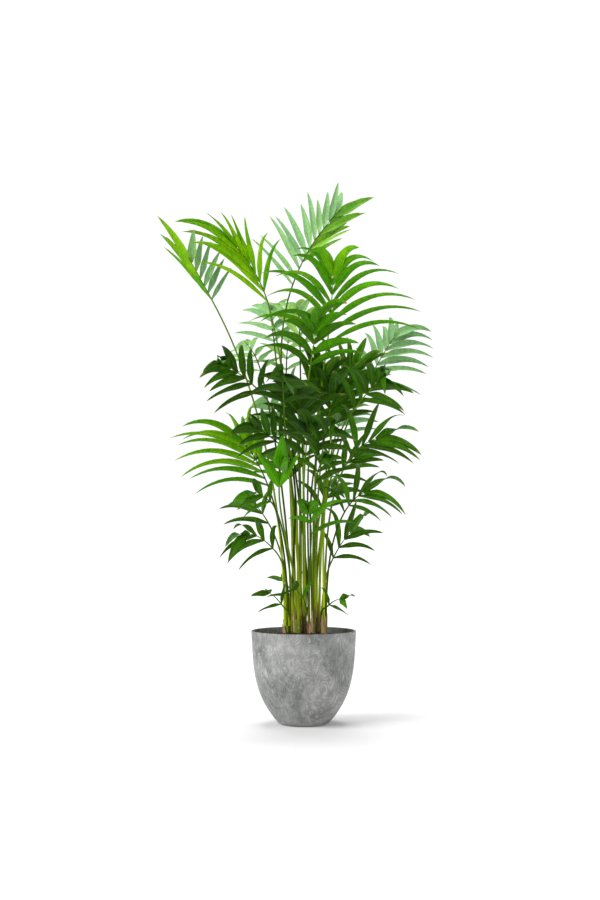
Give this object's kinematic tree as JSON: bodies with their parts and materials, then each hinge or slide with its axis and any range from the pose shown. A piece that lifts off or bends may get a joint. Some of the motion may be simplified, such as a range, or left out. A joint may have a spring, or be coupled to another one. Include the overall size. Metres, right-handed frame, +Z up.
{
  "type": "potted palm",
  "caption": "Kentia palm with feathery arching fronds on slender stalks, growing as a clump of seedlings in a round tapered grey planter with a stone-like marbled skin.",
  "frame": {"origin": "centre of the planter's flat base, on the surface that it stands on", "axes": "+Z up through the planter's axis, -Y towards the front, the side that the fullest fronds lean to, +X to the right seen from the front"},
  "size_m": [0.9494, 0.8555, 1.8825],
  "materials": {
    "planter": "satin",
    "soil": "matte",
    "sheath": "matte",
    "leaf": "satin"
  },
  "bodies": {
    "root": {"frond_back_centre": "leaf", "frond_back_left": "leaf", "frond_back_right": "leaf", "frond_base_back": "leaf", "frond_base_centre": "leaf", "frond_base_left": "leaf", "frond_base_right": "leaf", "frond_centre_small": "leaf", "frond_core_back": "leaf", "frond_core_front": "leaf", "frond_core_left": "leaf", "frond_core_low": "leaf", "frond_core_right": "leaf", "frond_crown_back": "leaf", "frond_far_left": "leaf", "frond_fill_centre": "leaf", "frond_fill_front": "leaf", "frond_fill_left": "leaf", "frond_fill_right": "leaf", "frond_front_centre": "leaf", "frond_front_high": "leaf", "frond_left_arch": "leaf", "frond_left_grey": "leaf", "frond_left_high": "leaf", "frond_left_young": "leaf", "frond_low_back": "leaf", "frond_low_back_right": "leaf", "frond_low_front": "leaf", "frond_low_left_a": "leaf", "frond_low_left_b": "leaf", "frond_low_left_c": "leaf", "frond_mid_left": "leaf", "frond_mid_right": "leaf", "frond_right_base": "leaf", "frond_right_high": "leaf", "frond_right_inner": "leaf", "frond_right_low": "leaf", "frond_right_mid": "leaf", "frond_right_outer": "leaf", "frond_upper_back": "leaf", "frond_upper_mid": "leaf", "planter": "planter", "potting_soil": "soil", "stem_back": "sheath", "stem_back_left": "sheath", "stem_back_right": "sheath", "stem_far_left": "sheath", "stem_far_right": "sheath", "stem_left_back": "sheath", "stem_left_front": "sheath", "stem_middle": "sheath", "stem_right": "sheath", "stem_right_front": "sheath"}
  },
  "joints": []
}
